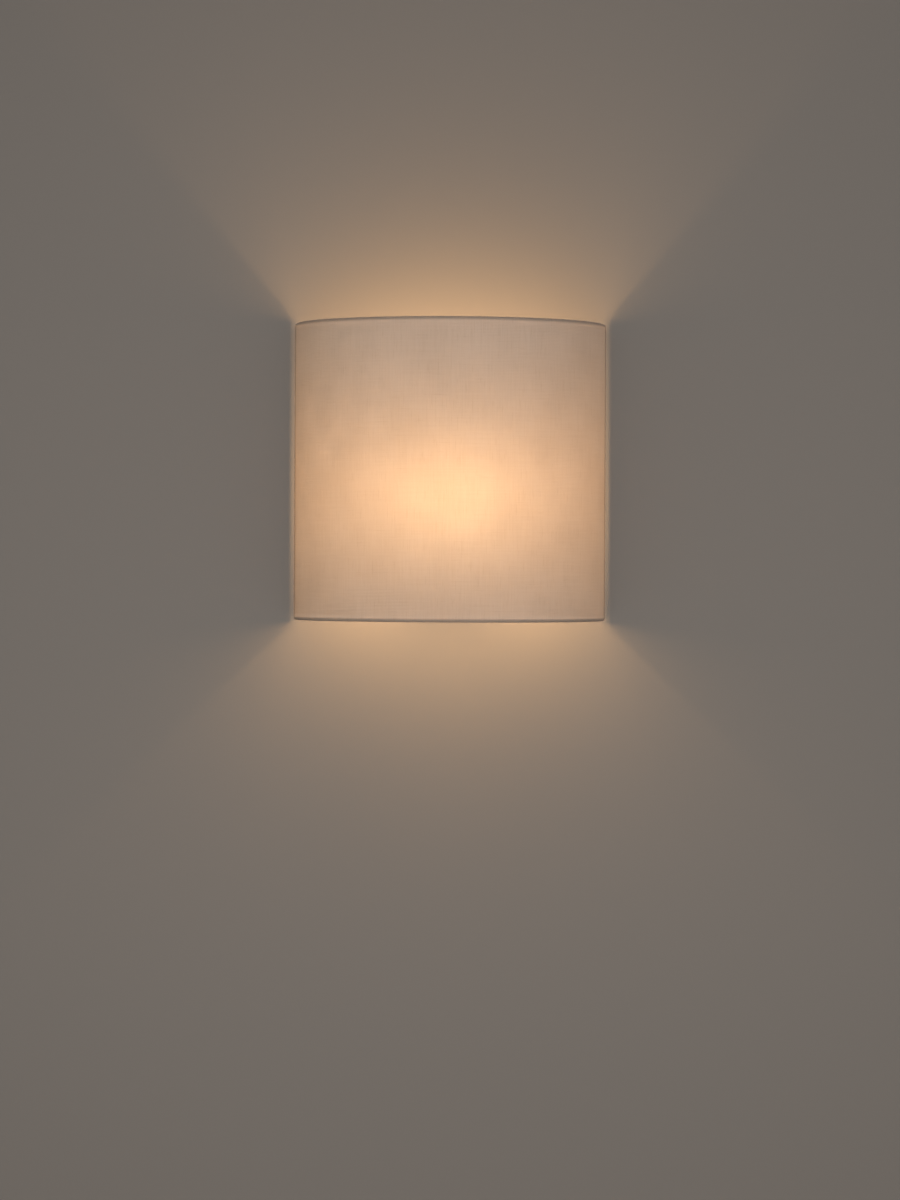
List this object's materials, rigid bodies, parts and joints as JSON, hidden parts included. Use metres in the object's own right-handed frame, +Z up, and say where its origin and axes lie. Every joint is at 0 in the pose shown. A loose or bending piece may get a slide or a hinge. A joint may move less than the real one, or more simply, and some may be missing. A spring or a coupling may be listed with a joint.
{
  "type": "fabric shade wall light",
  "caption": "Half-round fabric drum shade hung on a wall plate, in front of a steel cover with a lamp arm, threaded holder and opal golf-ball bulb.",
  "frame": {"origin": "centre of the wall plate's back face, on the wall", "axes": "+X to the right as seen from the room, +Y into the wall, +Z up; the shade stands out along -Y"},
  "size_m": [0.25, 0.1295, 0.238],
  "materials": {
    "shade_fabric": "plain woven off-white shade fabric",
    "shade_liner": "translucent styrene laminate",
    "white_enamel": "white epoxy powder coat",
    "zinc_steel": "bright zinc-plated steel",
    "brass": "plain turned brass",
    "rubber": "black moulded rubber",
    "white_polyamide": "moulded polyamide",
    "holder_plastic": "white moulded thermoset",
    "bulb_opal": "opal diffuser, lit",
    "bulb_housing": "white moulded plastic",
    "bulb_cap": "rolled nickel-plated cap",
    "black_glass": "black vitreous insulator",
    "brown_insulation": "brown silicone insulation",
    "blue_insulation": "blue silicone insulation",
    "green_insulation": "green insulation"
  },
  "bodies": {
    "wall_set": {"wall_plate": "zinc_steel", "hanging_studs": "zinc_steel", "cable_grommet": "rubber", "cable_clamp": "white_polyamide", "clamp_screws": "zinc_steel", "terminal_block": "white_polyamide", "terminal_sleeves": "brass", "terminal_screws": "zinc_steel", "block_screw": "zinc_steel", "earth_washer": "zinc_steel", "earth_screw": "brass", "cover": "white_enamel", "cover_screws": "white_enamel", "lamp_arm": "white_enamel", "arm_screws": "white_enamel", "arm_nuts": "zinc_steel", "hollow_nipple": "zinc_steel", "toothed_washer": "zinc_steel", "nipple_nut": "brass", "holder_dome": "holder_plastic", "holder_skirt": "holder_plastic", "contact_insert": "white_polyamide", "live_terminal": "brass", "neutral_terminal": "brass", "holder_terminal_screws": "zinc_steel", "thread_shell": "brass", "neutral_link": "brass", "contact_spring": "zinc_steel", "live_lead": "brown_insulation", "neutral_lead": "blue_insulation", "earth_lead": "green_insulation"},
    "shade": {"shade_fabric": "shade_fabric", "shade_liner": "shade_liner", "lower_ring": "white_enamel", "upper_ring": "white_enamel", "left_side_rod": "white_enamel", "right_side_rod": "white_enamel", "left_back_strut": "white_enamel", "right_back_strut": "white_enamel"},
    "sprung_contact": {"centre_contact": "brass"},
    "bulb": {"bulb_tip_contact": "bulb_cap", "bulb_insulator": "black_glass", "bulb_cap": "bulb_cap", "bulb_housing": "bulb_housing", "bulb_globe": "bulb_opal"}
  },
  "joints": [
    {"name": "shade_lift", "type": "slide", "parent": "wall_set", "child": "shade", "axis": [0, 0, 1], "range_m": [0, 0.0055]},
    {"name": "contact_rise", "type": "slide", "parent": "wall_set", "child": "sprung_contact", "axis": [0, 0, 1], "range_m": [0, 0.0018], "deforming": ["contact_spring"]},
    {"name": "bulb_turn", "type": "hinge", "parent": "sprung_contact", "child": "bulb", "pos_m": [0, -0.058, 0], "axis": [0, 0, 1], "range_deg": [0, 180]}
  ],
  "couplings": [
    {"joint": "contact_rise", "follows": "bulb_turn", "m_per_rad": 0.00057296}
  ]
}
